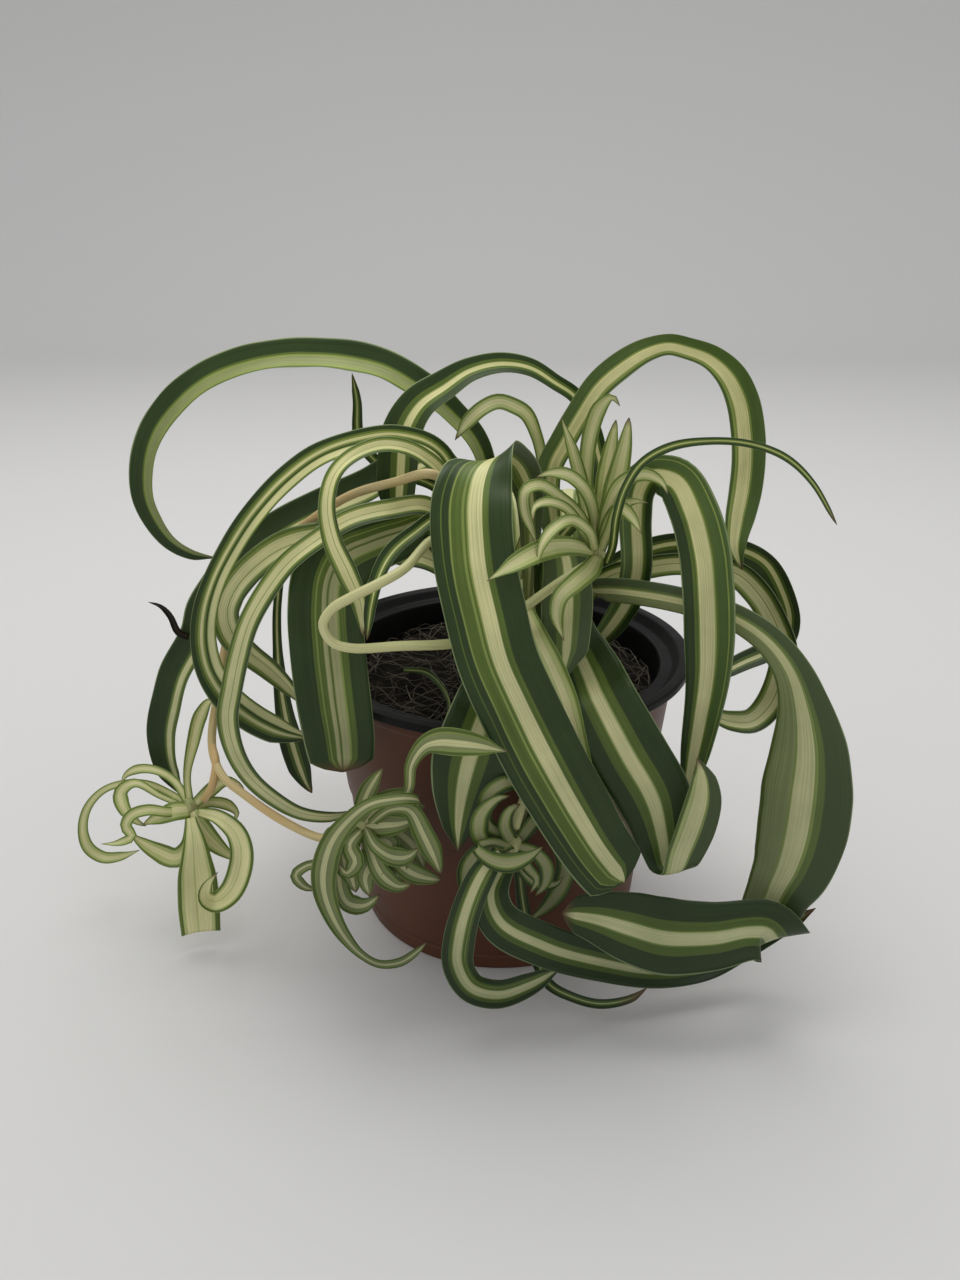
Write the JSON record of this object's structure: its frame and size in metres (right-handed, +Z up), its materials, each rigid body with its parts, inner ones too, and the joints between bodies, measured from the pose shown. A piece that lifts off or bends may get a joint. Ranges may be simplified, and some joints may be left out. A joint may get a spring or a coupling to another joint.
{
  "type": "potted spider plant",
  "caption": "Variegated spider plant with plantlets on stolons, in a nursery pot set in a round cover pot.",
  "frame": {"origin": "centre of the cover pot's flat base, on the surface that it stands on", "axes": "+Z up, +X to the viewer's right, +Y away from the viewer; the side with the plantlets faces -Y"},
  "size_m": [0.255, 0.1772, 0.203],
  "materials": {
    "cover_pot": "satin",
    "nursery_pot": "satin",
    "soil": "matt, fibrous",
    "leaf": "striped green and cream, semi-gloss",
    "leaflet": "striped green and cream, semi-gloss",
    "stolon": "pale, smooth",
    "crown": "pale green leaf bases"
  },
  "bodies": {
    "root": {"cover_pot": "cover_pot", "crown": "crown", "dried_tip": "leaf", "leaf_arch_left": "leaf", "leaf_back_centre": "leaf", "leaf_back_left": "leaf", "leaf_back_right": "leaf", "leaf_front_broad": "leaf", "leaf_front_left": "leaf", "leaf_front_right": "leaf", "leaf_front_short": "leaf", "leaf_front_slip": "leaf", "leaf_left_broad": "leaf", "leaf_left_cascade": "leaf", "leaf_left_droop": "leaf", "leaf_left_hoop": "leaf", "leaf_left_low": "leaf", "leaf_middle_arch": "leaf", "leaf_pale_loop": "leaf", "leaf_right_arch": "leaf", "leaf_right_back": "leaf", "leaf_right_hoop": "leaf", "leaf_right_sweep": "leaf", "leaf_right_tall": "leaf", "leaf_slender_green": "leaf", "leaf_spike": "leaf", "leaf_top_curl": "leaf", "leaf_twisted_pale": "leaf", "nursery_pot": "nursery_pot", "plantlet_front": "leaflet", "plantlet_front_droop": "leaflet", "plantlet_front_left": "leaflet", "plantlet_front_runner": "leaflet", "plantlet_front_tail": "leaflet", "plantlet_left": "leaflet", "plantlet_left_hook": "leaflet", "plantlet_left_strap": "leaflet", "plantlet_right": "leaflet", "plantlet_right_whip": "leaflet", "soil": "soil", "soil_wisp": "leaf", "stolon_front": "stolon", "stolon_front_loop": "stolon", "stolon_left_pair": "stolon"}
  },
  "joints": []
}
